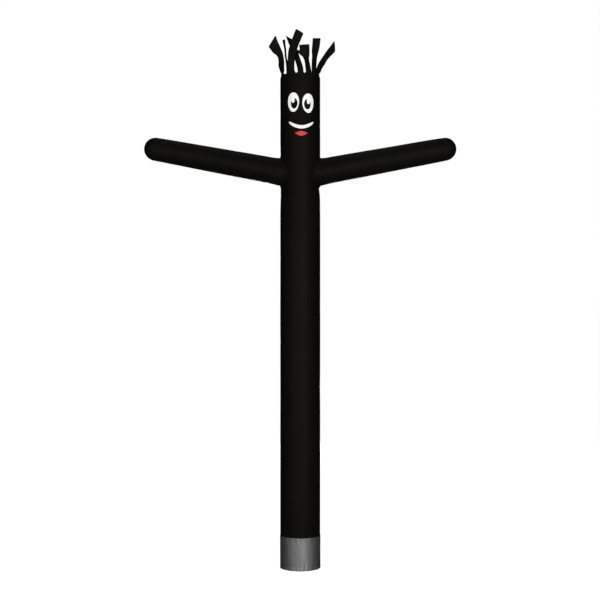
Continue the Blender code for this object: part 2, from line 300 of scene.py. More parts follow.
def makeWearGroup():
    inputs = {"Position": None, "Ground Reach": 0.5}
    tree, given, out = newGroup("clothWear", inputs, ["Mottle", "Dust", "Crumple"])
    place = given["Position"]
    wide = noiseAt(place, wear["wideScale"], 3.0)
    fine = noiseAt(place, wear["fineScale"], 4.0)
    share = wear["wideShare"]
    mottle = calc("MULTIPLY_ADD", wide, share, calc("MULTIPLY", fine, 1 - share))
    risen = calc("DIVIDE", split(place)["Z"], given["Ground Reach"])
    low = calc("SUBTRACT", 1.0, risen, clamp=True)
    start, sharp = wear["specks"]
    fineDust = calc("SUBTRACT", noiseAt(place, wear["speckScale"], 2.0), start)
    specks = calc("MULTIPLY", fineDust, sharp, clamp=True)
    start, sharp = wear["smears"]
    smears = calc("MULTIPLY", calc("SUBTRACT", wide, start), sharp, clamp=True)
    near = calc("MULTIPLY_ADD", low, 1 - wear["dustAbove"], wear["dustAbove"])
    share = wear["smearShare"]
    spread = calc("MULTIPLY_ADD", smears, share, calc("MULTIPLY", specks, 1 - share))
    dust = calc("MULTIPLY", spread, near, clamp=True)
    crumple = noiseAt(place, wear["crumpleScale"], 3.0)
    feedAll(out, {"Mottle": mottle, "Dust": dust, "Crumple": crumple})
    return tree


ripstopGroup = makeRipstopGroup()
stitchGroup = makeStitchGroup()
wearGroup = makeWearGroup()
print("weave, stitches and wear are ready")


def placeGroup(tree, group, values):
    node = tree.nodes.new("ShaderNodeGroup")
    node.node_tree = group
    feedAll(node, values)
    return node.outputs


def clothMaterial(name, look):
    material, tree, shader = newMaterial(name)
    flat = clothPlace(tree, "cloth")
    weave = placeGroup(tree, ripstopGroup, {
        "Cloth Position": flat, "Thread Height": look["threadHeight"],
        "Rib Height": look["ribHeight"], "Rib Spacing": look.get("ribSpacing", 0.006),
    })
    worn = placeGroup(tree, wearGroup, {
        "Position": tree.nodes.new("ShaderNodeTexCoord").outputs["Object"],
        "Ground Reach": look.get("groundReach", 0.5),
    })
    height = calc("MULTIPLY_ADD", worn["Crumple"], look["crumple"], weave["Height"])
    x, y = split(flat)[:2]
    threads = None
    for axis, line in look["rows"]:
        if axis == "level":  # a row round the piece, at one height of the flat cloth
            away, along = y, x
        elif axis == "upright":  # a row each side of the cloth's middle line
            away, along = calc("ABSOLUTE", x), y
        else:  # a row that follows a cut edge
            along, away = split(clothPlace(tree, "border"))[:2]
        across = calc("SUBTRACT", away, line)
        row = placeGroup(tree, stitchGroup, {"Across": across, "Along": along})
        height = calc("ADD", height, row["Height"])
        thread = row["Thread"]
        threads = thread if threads is None else calc("MAXIMUM", threads, thread)

    mottle = calc("MULTIPLY", worn["Mottle"], mottleShare)
    shade = calc("MULTIPLY_ADD", weave["Rib"], look["ribShade"], mottle)
    colour = mixColour(shade, look["dark"], look["light"])
    dusty = calc("MULTIPLY", worn["Dust"], look["dust"])
    colour = mixColour(dusty, colour, dustColour)
    colour = mixColour(threads, colour, look["thread"])
    low, high = look["roughness"]
    bump = tree.nodes.new("ShaderNodeBump")
    feedAll(bump, {"Strength": 1.0, "Distance": 1.0, "Height": height})
    feedAll(shader, {
        "Base Color": colour,
        "Roughness": calc("MULTIPLY_ADD", worn["Mottle"], high - low, low),
        "Metallic": look.get("metallic", 0.0),
        "Specular IOR Level": look["gloss"],
        "Specular Tint": look.get("rim", (1, 1, 1, 1)),
        "Normal": bump.outputs["Normal"],
    })
    return material


# The tube is one straight sleeve, sewn up at the back.
tube = {
    "radius": 0.2286,
    "low": 0.335,
    "high": 5.617,
    "shoulder": 5.576,  # the seam at the top draws the cloth in above this
    "draw": 0.010,
    "wall": 0.0012,
    "columns": 224,  # collar and crown have as many, so their creases meet
    "rowChanges": (0.50, 0.90, 4.15, 4.85, 5.50),  # the rows of faces are finer where there are folds
    "rowHeights": (0.008, 0.020, 0.050, 0.0125, 0.021, 0.0075),
    "swell": (0.0016, 0.11, 0.80),  # depth, width and height of the long soft hollows
    "longCreases": (0.0013, 0.10, 1.10),
    "longCreaseWidth": 0.09,
    "topFolds": (0.036, 0.055, 0.0048, 3.1),  # pitch, reach, depth and seed of the folds at a seam
    "bandEase": (0.012, 0.045),  # the band holds the top flat, and lets go between these
    "collarFolds": (0.038, 0.070, 0.0034, 0.0),
    "collarSeams": ((0.350, 7.7), (0.029, 9.4)),  # height and seed
    "backFolds": (0.060, 0.040, 0.0030, 1.7),
    "armFolds": (0.050, 0.070, 0.0070, 0.0),
    "armpitFolds": (0.120, 0.160, 0.0100, 0.0),
    "armSeeds": (5.3, 12.9),
    "armPull": 0.9,  # how far above and below its centre an arm pulls folds
    "edgeEase": (0.009, 0.028),  # the edge sewn on at an arm's root lies flat
    "groove": (0.0014, 0.004),  # depth and width of the valley along the back seam
    "seamAllowance": 0.008,  # from the back seam to the row of stitches each side of it
    "topStitch": 0.004,
}
blackLook = {
    "dark": (0.0022, 0.0019, 0.0011, 1),
    "light": (0.0060, 0.0056, 0.0042, 1),
    "ribShade": 0.6,
    "thread": (0.016, 0.015, 0.013, 1),
    "roughness": (0.50, 0.66),
    "gloss": 0.034,
    "threadHeight": 0.00003,
    "ribHeight": 0.00009,
    "crumple": 0.0007,
    "dust": 0.010,
}
# Each arm is a tapered sleeve, with a turned-out root edge and a round tip with darts.
arm = {
    "height": 4.518,  # where the arm's centre line meets the tube's side
    "rise": math.radians(10.4),
    "rootRadius": 0.152,
    "tipRadius": 0.1335,
    "length": 1.447,  # from the tube's side to the centre of the round tip
    "flare": 0.005,
    "flareLength": 0.10,
    "columns": 128,
    "wall": 0.0010,
    "seamRadius": 0.157,
    "flange": (  # the edge turned out and sewn flat: past the seam, off the tube, along the arm
        (0.0110, 0.0013, 0.0), (0.0098, 0.0017, 0.0), (0.0070, 0.0015, 0.0), (0.0042, 0.0017, 0.0),
        (0.0024, 0.0020, 0.0008), (0.0012, 0.0020, 0.0024), (0.0005, 0.0016, 0.0050),
        (0.0001, 0.0008, 0.0095),
    ),
    "flangeStitch": -0.0070,
    "rows": (0.016, 0.25, 0.12),  # start, end of the fine rows there, length of those at the tip
    "rowHeights": (0.009, 0.020, 0.0085),
    "tipRows": 18,
    "holeRadius": 0.1510,
    "holeMargin": 0.004,
    "follows": 0.06,  # how far along the sleeve still has the tube's own folds
    "rootFolds": (0.046, 0.100, 0.0058, 21.0),
    "rootEase": 0.016,
    "tipFolds": (0.036, 0.060, 0.0040, 33.0),
    "longCreases": (0.0011, 0.08, 0.60),
    "longCreaseWidth": 0.10,
    "darts": 8,
    "dartDepth": 0.0026,
    "dartSharpness": 5,
    "seamAngle": math.radians(135),  # the long seam, behind and below
    "groove": (0.0013, 0.004),
    "pucker": (0.0016, 0.04, 0.03),  # depth, pitch and width of the puckers along the long seam
    "seamStitch": (0.143, 0.006),  # mean radius, and from the seam to the stitches
}


def armAxes(side):
    lift = arm["rise"]
    axis = Vector((side * math.cos(lift), 0, math.sin(lift)))
    up = Vector((-side * math.sin(lift), 0, math.cos(lift)))
    return Vector((side * tube["radius"], 0, arm["height"])), axis, up


def armFoot(side, spread, angle):
    # where a line of the arm's wall, at this distance and angle from its axis, meets the tube
    root, axis, up = armAxes(side)
    lift, radius = arm["rise"], tube["radius"]
    depth = math.sqrt(radius**2 - (spread * math.sin(angle)) ** 2) - radius
    along = (depth + spread * math.cos(angle) * math.sin(lift)) / math.cos(lift)
    away = up * (spread * math.cos(angle)) + Vector((0, spread * math.sin(angle), 0))
    return root + axis * along + away, along


def armSeat(side, spread, way):
    # armFoot's point, its angle round the tube, and the way out from the tube there
    foot = armFoot(side, spread, way)[0]
    angle = math.atan2(foot.x, -foot.y)
    return foot, angle, Vector((math.sin(angle), -math.cos(angle), 0))


def armPolar(point, side):
    # distance and angle of a point from the arm's axis
    root, up = armAxes(side)[::2]
    offset = point - root
    return math.hypot(offset.dot(up), offset.y), math.atan2(offset.y, offset.dot(up))


def bodyRipple(angle, z):
    # how far the folds draw the body's cloth in here
    radius = tube["radius"]
    angle = (angle + math.pi) % turn - math.pi
    x, y = radius * math.sin(angle), -radius * math.cos(angle)
    most, wide, tall = tube["swell"]
    depth = most * noiseThrough(x / wide, y / wide, z / tall)
    most, wide, tall = tube["longCreases"]
    depth += most * trough(noiseThrough(x / wide, y / wide, z / tall + 6), tube["longCreaseWidth"])
    away = abs(z - tube["high"])
    depth += smoothStep(*tube["bandEase"], away) * gathers(x, y, away, tube["topFolds"])
    for line, seed in tube["collarSeams"]:
        depth += gathers(x, y, abs(z - line), tube["collarFolds"], seed)
    depth += gathers(z, 0, radius * (math.pi - abs(angle)), tube["backFolds"])
    side = 1 if x > 0 else -1
    beside = smoothStep(0, 0.10, abs(x))  # each arm pulls on its own half of the tube
    if abs(z - arm["height"]) < tube["armPull"] and beside > 0:
        spread, way = armPolar(Vector((x, y, z)), side)
        away = max(0.0, spread - arm["seamRadius"])
        beside *= smoothStep(*tube["edgeEase"], away)
        px, py = arm["seamRadius"] * math.cos(way), arm["seamRadius"] * math.sin(way)
        rootSeed, pitSeed = tube["armSeeds"]
        depth += beside * gathers(px, py, away, tube["armFolds"], rootSeed * side)
        # most of the wide ones are under the arm
        below = beside * (0.35 + 0.65 * smoothStep(-0.2, 0.8, -math.cos(way)))
        depth += below * gathers(px, py, away, tube["armpitFolds"], pitSeed * side)
    return depth


def bodyRadius(angle, z):
    drawn = tube["draw"] * smoothStep(0, 1, (z - tube["shoulder"]) / (tube["high"] - tube["shoulder"]))
    return tube["radius"] - drawn - bodyRipple(angle, z)


def backGroove(angle, depth=tube["groove"][0]):
    # the two edges of the sleeve meet at the back in a shallow valley
    away = tube["radius"] * (math.pi - abs((angle + math.pi) % turn - math.pi))
    return depth * trough(away, tube["groove"][1])


def onBody(angle, z, lift=0.0):
    radius = bodyRadius(angle, z) + lift
    return Vector((radius * math.sin(angle), -radius * math.cos(angle), z))


def makeTube():
    columns, radius = tube["columns"], tube["radius"]
    ends = (tube["low"], *tube["rowChanges"], tube["high"])
    rows = spaced(*zip(ends, ends[1:], tube["rowHeights"]))
    bm = newCloth()

    def place(i, j):
        angle = turn * (i / columns - 0.5)
        return onBody(angle, rows[j], -backGroove(angle)), (radius * angle, rows[j])

    addCloth(bm, columns, len(rows) - 1, place)
    sewUp(bm)
    hole = arm["holeRadius"]
    for side in (1, -1):  # cut out each arm's hole, and bring its edge to a true curve
        inside = [
            vert for vert in bm.verts
            if vert.co.x * side > 0 and armPolar(vert.co, side)[0] < hole - arm["holeMargin"]
        ]
        bmesh.ops.delete(bm, geom=inside, context="VERTS")
        for vert in bm.verts:
            if vert.is_boundary and vert.co.x * side > 0 and abs(vert.co.z - arm["height"]) < 2 * hole:
                foot, angle = armSeat(side, hole, armPolar(vert.co, side)[1])[:2]
                vert.co = onBody(angle, foot.z)
    half = math.pi * radius - tube["seamAllowance"]
    look = dict(blackLook, rows=[("upright", half), ("level", tube["high"] - tube["topStitch"])])
    piece = clothPiece("bodyTube", bm, tube["wall"], clothMaterial("blackRipstop", look))
    fitPiece(piece, "black_nylon", "body_tube")


def armRadius(along):
    flare = arm["flare"] * (1 - smoothStep(0, arm["flareLength"], along))
    share = max(0.0, along) / arm["length"]
    return arm["rootRadius"] + (arm["tipRadius"] - arm["rootRadius"]) * share + flare


def makeArm(name, side, slotNode):
    columns, length, tip = arm["columns"], arm["length"], arm["tipRadius"]
    root, axis, up = armAxes(side)
    seam, flange, tipRows = arm["seamRadius"], arm["flange"], arm["tipRows"]
    start, fineRoot, fineTip = arm["rows"]
    ends = (start, fineRoot, length - fineTip, length)
    sleeve = spaced(*zip(ends, ends[1:], arm["rowHeights"]))
    arc = [math.pi / 2 * k / tipRows for k in range(1, tipRows + 1)]
    rows = len(flange) + len(sleeve) + len(arc)
    bm = newCloth()

    def place(i, j):
        way = arm["seamAngle"] - side * turn * i / columns
        cosWay, sinWay = math.cos(way), math.sin(way)
        px, py = seam * cosWay, seam * sinWay
        around = turn * (i / columns - 0.5)

        def rootFolds(start):
            ease = smoothStep(0, arm["rootEase"], start)
            return ease * gathers(px, py, start, arm["rootFolds"], side)

        if j < len(flange):
            past, lift, start = flange[j]
            spread = seam + past
            foot, angle, out = armSeat(side, spread, way)
            drawn = bodyRipple(angle, foot.z) * (1 - smoothStep(0, arm["follows"], start))
            point = foot + out * (lift - drawn) + axis * start
            away = Vector((0, sinWay, 0)) + up * cosWay
            return point - away * rootFolds(start), (around * spread, seam - spread + start)
        if j < len(flange) + len(sleeve):
            start = sleeve[j - len(flange)]
            first = armFoot(side, armRadius(start), way)[1]
            along = start + first * (1 - smoothStep(0, 0.25, start))
            radius, tipTurn = armRadius(along), 0.0
        else:
            tipTurn = arc[j - len(flange) - len(sleeve)]
            start = length + tip * tipTurn
            along = length + tip * math.sin(tipTurn)
            radius = tip * math.cos(tipTurn)
        level = math.cos(tipTurn)  # 1 along the sleeve, and down to 0 at the middle of the tip
        drawn = rootFolds(start)
        drawn += gathers(px, py, abs(start - length), arm["tipFolds"], side) * level
        most, wide, tall = arm["longCreases"]
        soft = noiseThrough(px / wide, py / wide, start / tall + 4 * side)
        fadeIn = smoothStep(0.02, 0.12, start) * level
        drawn += most * (soft + trough(soft, arm["longCreaseWidth"])) * fadeIn
        # the long seam and the darts of the tip lie in shallow valleys
        away = radius * (math.pi - abs(around))
        deep, wide = arm["groove"]
        drawn += deep * trough(away, wide) * level
        deep, pitch, wide = arm["pucker"]
        drawn += deep * noiseThrough(start / pitch, 5.5 * side, 0) ** 2 * math.exp(-away / wide)
        valley = (0.5 + 0.5 * math.cos(arm["darts"] * way)) ** arm["dartSharpness"]
        drawn += arm["dartDepth"] * valley * math.sin(2 * tipTurn)
        spread = radius - min(drawn, radius)
        point = root + axis * along + up * (spread * cosWay) + Vector((0, spread * sinWay, 0))
        if start < arm["follows"]:
            foot, angle, out = armSeat(side, seam, way)
            point -= out * bodyRipple(angle, foot.z) * (1 - smoothStep(0, arm["follows"], start))
        return point, (around * radius, start)

    addCloth(bm, columns, rows - 1, place)
    sewUp(bm)
    mean, allowance = arm["seamStitch"]
    half = math.pi * mean - allowance
    look = dict(blackLook, rows=[("level", arm["flangeStitch"]), ("upright", half), ("level", length)])
    piece = clothPiece(name, bm, arm["wall"], clothMaterial(name + "Ripstop", look))
    fitPiece(piece, "black_nylon", slotNode)


# The collar is the grey sleeve that ties over the blower, hemmed at both ends.
collar = {
    "height": 0.370,
    "hem": 0.035,
    "hemStitch": 0.0045,  # from the hem's edge to its row of stitches
    "stitchDip": 0.0003,
    "seamAllowance": 0.007,
    "grooveDepth": 0.0005,
    "rowHeight": 0.009,
    "clothWall": 0.0009,
    "columns": 224,
    "innerLift": 0.0009,  # centre of the turned-in layer, off the tube
    "bodyLift": 0.0021,
    "hemLift": 0.0030,
}
greyLook = {
    "dark": (0.17, 0.17, 0.172, 1),
    "light": (0.28, 0.28, 0.283, 1),
    "ribShade": 0.25,
    "thread": (0.42, 0.42, 0.42, 1),
    "roughness": (0.55, 0.63),
    "gloss": 0.35,
    "rim": (0.05, 0.05, 0.05, 1),
    "metallic": 1.0,
    "threadHeight": 0.00004,
    "ribHeight": 0.00002,
    "crumple": 0.0006,
    "dust": 0.10,
    "groundReach": 0.25,
}


def makeCollar():
    high, hem, rowHeight = collar["height"], collar["hem"], collar["rowHeight"]
    inner, body, proud = collar["innerLift"], collar["bodyLift"], collar["hemLift"]
    dip, stitchIn = collar["stitchDip"], collar["hemStitch"]
    bend = (proud - inner) / 2
    # the cloth's way up the collar, as height and distance off the tube
    path = [(z, inner) for z in (hem - 0.003, hem - 0.012, hem - 0.022, bend + 0.003)]
    for k in range(7):  # the fold at the lower edge
        a = math.pi * k / 6
        low = collar["clothWall"] / 2 + bend * (1 - math.sin(a))
        path.append((low, (inner + proud) / 2 - bend * math.cos(a)))
    foldRows = len(path)
    path += [(z, proud) for z in (0.004, 0.010, 0.016, 0.022, 0.027)]
    path += [(hem - stitchIn, proud - dip), (hem - 0.002, proud), (hem - 0.0008, proud)]
    path += [(hem + 0.0004, proud - dip), (hem + 0.0014, body + 0.0001), (hem + 0.003, body)]
    hemRows = len(path)
    path += [(z, body) for z in spaced((hem + rowHeight, high - hem - rowHeight, rowHeight))]
    path += [(high - z, lift) for z, lift in reversed(path[:hemRows])]
    lengths = [0.0]
    for (z0, r0), (z1, r1) in zip(path, path[1:]):
        lengths.append(lengths[-1] + math.hypot(z1 - z0, r1 - r0))
    columns, radius = collar["columns"], tube["radius"]
    bm = newCloth()

    def place(i, j):
        angle = turn * (i / columns - 0.5)
        z, lift = path[j]
        groove = backGroove(angle, collar["grooveDepth"]) * smoothStep(inner, body, lift)
        return onBody(angle, z, lift - groove), (radius * angle, lengths[j])

    addCloth(bm, columns, len(path) - 1, place)
    sewUp(bm)
    rows = []
    for z in (hem - stitchIn, high - hem + stitchIn):
        j = min(range(foldRows, len(path) - foldRows), key=lambda k: abs(path[k][0] - z))
        rows.append(("level", lengths[j]))
    rows.append(("upright", math.pi * radius - collar["seamAllowance"]))
    look = dict(greyLook, rows=rows)
    piece = clothPiece("collarSleeve", bm, collar["clothWall"], clothMaterial("greySatin", look), 0)
    fitPiece(piece, "grey_cloth", "collar")


# The crown is the shallow dome in the head's top, with the vent that lets the air out.
crown = {
    "sink": 0.006,
    "rise": 0.034,
    "skirt": 0.018,  # the part sewn to the inside of the tube, below the dome
    "vent": 0.080,
    "hem": 0.016,
    "wall": 0.0010,
    "inset": 0.0022,
    "seamDraw": 0.0086,  # how far in the seam draws the tube at that height
    "columns": 224,
    "skirtRows": 5,
    "domeRows": 34,
    "folds": (0.032, 0.034, 0.0046, 41.0),
    "seamEase": 0.008,
    "ventFolds": (0.024, 0.018, 0.0026, 43.0),
    "stitches": (0.006, 0.003),  # in from the rim, and in from the hem's outer edge
}


def makeCrown():
    seam = tube["high"] - crown["sink"]
    rim = tube["radius"] - crown["seamDraw"] - crown["inset"]
    vent, hem, rise = crown["vent"], crown["hem"], crown["rise"]
    columns, skirtRows, domeRows = crown["columns"], crown["skirtRows"], crown["domeRows"]
    skirt = [seam - crown["skirt"] + crown["skirt"] * k / skirtRows for k in range(skirtRows + 1)]
    dome = [rim + (vent - rim) * k / domeRows for k in range(1, domeRows + 1)]
    bm = newCloth()

    def place(i, j):
        angle = turn * (i / columns - 0.5)
        if j < len(skirt):
            z = skirt[j]
            return onBody(angle, z, -crown["inset"] - backGroove(angle)), (rim * angle, z - seam)
        radius = dome[j - len(skirt)]
        edge = bodyRadius(angle, seam) - crown["inset"] - backGroove(angle)
        share = (radius - vent) / (rim - vent)
        wide = vent + (edge - vent) * share
        x, y = rim * math.sin(angle), rim * math.cos(angle)
        up = seam + rise * (1 - (radius / rim) ** 2)
        away = rim - radius
        up -= gathers(x, y, away, crown["folds"]) * smoothStep(0, crown["seamEase"], away)
        up -= gathers(x / 2, y / 2, radius - vent, crown["ventFolds"])
        # the turned hem round the vent is a second layer thick
        up += crown["wall"] * (1 - smoothStep(hem - 0.001, hem + 0.001, radius - vent))
        return Vector((wide * math.sin(angle), -wide * math.cos(angle), up)), (radius * angle, away)

    addCloth(bm, columns, len(skirt) + len(dome) - 1, place)
    sewUp(bm)
    atRim, atHem = crown["stitches"]
    look = dict(blackLook, rows=[("level", atRim), ("level", rim - vent - hem + atHem)])
    piece = clothPiece("crownCap", bm, crown["wall"], clothMaterial("crownRipstop", look))
    fitPiece(piece, "black_nylon", "crown")


# The face is made of flat cut pieces, each sewn down along its edge.
face = {
    "cloth": 0.0007,
    "layerLift": (0.0013, 0.0026),  # outer side of the lower and the upper layer
    "edgeDrop": (0.0004, 0.0012),  # how much lower a piece lies at its cut edge, and how far in
    "stitchLine": 0.0034,
    "stitchDip": (0.00022, 0.0012),
    "pucker": (0.00025, 0.011, 0.006),  # depth, pitch and reach of the puckers beside the stitches
    "edgeRows": (0.0, 0.0006, 0.0016, 0.0034, 0.0050, 0.0075),  # rows of corners, in from the edge
    "leastSlant": 0.35,
    "tiny": 1e-6,
    "joinReach": 0.00002,
    "shortestEdge": 0.00001,
    "bluntEnd": 0.0007,
    "eyes": (  # place round the tube, height, half width, half height
        ("eyeLeft", "eye_left", -0.0810, 5.284, 0.0675, 0.1090),
        ("eyeRight", "eye_right", 0.0930, 5.272, 0.0690, 0.1095),
    ),
    "eyeNarrowing": 0.07,
    "eyeGrid": (56, 8),  # columns, and rows of faces inside the edge's own
    "pupils": (  # place, height, place of the notch, its lowest point
        ("pupilLeft", "pupil_left", -0.0695, 5.270, -0.0825, 5.277),
        ("pupilRight", "pupil_right", 0.0825, 5.261, 0.0945, 5.263),
    ),
    "pupilHalf": (0.0390, 0.0590),
    "notchWidth": 0.035,
    "notchSteps": (10, 52),  # down each straight side, and round the lower end
    "pupilRows": 3,
    # place, height at the tips, half width, sag, thickness, where it tapers, how round its ends are
    "smile": (0.0137, 5.0618, 0.1488, 0.0580, 0.0360, 6.0, 0.5),
    "lip": (0.0110, 4.9370, 0.0740, 0.0065, 0.0545, 1.6, 1.0),
    "sagCurve": 1.85,
    "bowSteps": 84,
    "smileRows": 3,
    "lipRows": 4,
}
patchLook = {
    "dark": (0.86, 0.86, 0.85, 1),
    "light": (0.96, 0.96, 0.95, 1),
    "ribShade": 0.25,
    "thread": (0.82, 0.82, 0.81, 1),
    "roughness": (0.50, 0.62),
    "gloss": 0.30,
    "threadHeight": 0.00002,
    "ribHeight": 0.00004,
    "ribSpacing": 0.005,
    "crumple": 0.0004,
    "dust": 0.04,
    "rows": [("border", face["stitchLine"])],
}
lipLook = dict(
    patchLook, dark=(0.47, 0.028, 0.025, 1), light=(0.64, 0.041, 0.036, 1),
    thread=(0.44, 0.026, 0.023, 1),
)
pupilLook = dict(blackLook, rows=patchLook["rows"], dust=0.004)


def runAlong(points):
    runs = [0.0]
    for first, second in zip(points, points[1:]):
        runs.append(runs[-1] + (second - first).length)
    return runs


def nearestOn(points, runs, spot):
    # the distance from a cut edge, and how far along it
    best, where = math.inf, 0.0
    for k in range(len(points) - 1):
        step = points[k + 1] - points[k]
        size = step.length_squared
        if size < 1e-14:  # two points in one place
            continue
        t = min(max((spot - points[k]).dot(step) / size, 0.0), 1.0)
        away = (points[k] + step * t - spot).length
        if away < best:
            best, where = away, runs[k] + step.length * t
    return best, where


def outlineArea(points):
    pairs = zip(points, points[1:] + points[:1])
    return abs(sum(first.cross(second) for first, second in pairs)) / 2


def makePatch(name, node, slot, layer, below, above, middleRows, material):
    # a piece cut between its lower and upper edge, lists of as many (round, up) points
    columns = len(below) - 1
    edgeRows = face["edgeRows"]
    half = len(edgeRows) - 1 + middleRows
    belowRuns, aboveRuns = runAlong(below), runAlong(above)
    radius, tiny = tube["radius"], face["tiny"]
    spots = {}
    for i in range(columns + 1):
        low, high = below[i], above[i]
        span = high - low
        tall = span.length
        slant = 1.0
        if tall > tiny:
            k0, k1 = max(i - 1, 0), min(i + 1, columns)
            run = (below[k1] - below[k0]).normalized()
            slant = max(face["leastSlant"], abs(run.cross(span / tall)))
        steps = [min(row / slant, tall / 2 * k / half) for k, row in enumerate(edgeRows)]
        last = steps[-1]
        steps += [last + (tall / 2 - last) * k / middleRows for k in range(1, middleRows + 1)]
        for j in range(2 * half + 1):
            reach = steps[j] if j <= half else tall - steps[2 * half - j]
            spots[i, j] = low + (span * (reach / tall) if tall > tiny else span)
    bm = newCloth()
    border = bm.loops.layers.uv.new("border")
    corner = {}

    def place(i, j):
        spot = spots[i, j]
        down = nearestOn(below, belowRuns, spot)
        up = nearestOn(above, aboveRuns, spot)
        corner[i, j] = (down, up)
        away, run = min(down, up)
        drop, wide = face["edgeDrop"]
        lift = face["layerLift"][layer] - drop * math.exp(-away / wide)
        drop, wide = face["stitchDip"]
        lift -= drop * trough(away - face["stitchLine"], wide)
        drop, pitch, wide = face["pucker"]
        pull = noiseThrough(run / pitch, layer * 3.0, below[0].x * 40)
        lift -= drop * (0.5 + 0.5 * pull) * math.exp(-abs(away - face["stitchLine"]) / wide)
        return onBody(spot.x / radius, spot.y, lift), (spot.x, spot.y)

    faces = addCloth(bm, columns, 2 * half, place)
    cloth = bm.loops.layers.uv["cloth"]
    keys = {(round(spot.x, 6), round(spot.y, 6)): ij for ij, spot in spots.items()}
    # faces above the middle row take their stitches from the upper edge, the others from the lower
    for patch in faces:
        owners = [keys[round(loop[cloth].uv.x, 6), round(loop[cloth].uv.y, 6)] for loop in patch.loops]
        upper = sum(j for i, j in owners) / len(owners) > half
        for loop, ij in zip(patch.loops, owners):
            away, run = corner[ij][1 if upper else 0]
            loop[border].uv = (run, away)
    bmesh.ops.remove_doubles(bm, verts=bm.verts, dist=face["joinReach"])
    bmesh.ops.dissolve_degenerate(bm, edges=bm.edges, dist=face["shortestEdge"])
    piece = clothPiece(name, bm, face["cloth"], material)
    fitPiece(piece, slot, node)
    area = outlineArea(below + above[::-1])


def ovalPoint(place, height, halfWidth, halfHeight, narrowing, way):
    wide = halfWidth * (1 + narrowing * math.sin(way))
    return Vector((place + wide * math.cos(way), height + halfHeight * math.sin(way)))


def makeEye(name, node, place, height, halfWidth, halfHeight, material):
    steps, middleRows = face["eyeGrid"]
    size = (place, height, halfWidth, halfHeight, face["eyeNarrowing"])
    below = [ovalPoint(*size, math.pi * (1 + k / steps)) for k in range(steps + 1)]
    above = [ovalPoint(*size, math.pi * (1 - k / steps)) for k in range(steps + 1)]
    makePatch(name, node, "white_nylon", 0, below, above, middleRows, material)


def makePupil(name, node, place, height, notchPlace, notchLow, material):
    straight, bow = face["notchSteps"]
    steps = 2 * straight + bow
    wide, tall = face["pupilHalf"]
    slot = face["notchWidth"] / 2
    left, right = notchPlace - slot, notchPlace + slot
    wayLeft = math.acos((left - place) / wide)
    wayRight = math.acos((right - place) / wide)
    swing = turn - wayLeft + wayRight
    outer = [
        ovalPoint(place, height, wide, tall, 0.0, wayLeft + swing * k / steps)
        for k in range(steps + 1)
    ]
    centre = notchLow + slot  # of the notch's round lower end
    inner = [outer[0]]
    inner += [outer[0].lerp(Vector((left, centre)), k / straight) for k in range(1, straight + 1)]
    for k in range(1, bow + 1):
        way = math.pi * (1 + k / bow)
        inner.append(Vector((notchPlace + slot * math.cos(way), centre + slot * math.sin(way))))
    low = Vector((right, centre))
    inner += [low.lerp(outer[-1], k / straight) for k in range(1, straight + 1)]
    makePatch(name, node, "pupil_nylon", 1, outer, inner, face["pupilRows"], material)


def makeBow(name, node, slot, shape, middleRows, material):
    place, height, halfWidth, sag, thick, taper, roundEnd = shape
    steps = face["bowSteps"]
    below, above = [], []
    for k in range(steps + 1):
        along = -math.cos(math.pi * k / steps)
        far = abs(along)
        x = place + halfWidth * along
        middle = height - sag * (1 - far ** face["sagCurve"])
        half = thick / 2 * max(1 - far**taper, 0.0) ** roundEnd + face["bluntEnd"]
        below.append(Vector((x, middle - half)))
        above.append(Vector((x, middle + half)))
    makePatch(name, node, slot, 0, below, above, middleRows, material)


def makeFace():
    white = clothMaterial("whiteNylon", patchLook)
    black = clothMaterial("pupilNylon", pupilLook)
    red = clothMaterial("redNylon", lipLook)
    for eye in face["eyes"]:
        makeEye(*eye, white)
    for pupil in face["pupils"]:
        makePupil(*pupil, black)
    makeBow("smileBand", "smile", "white_nylon", face["smile"], face["smileRows"], white)
    makeBow("redLip", "lip", "red_nylon", face["lip"], face["lipRows"], red)


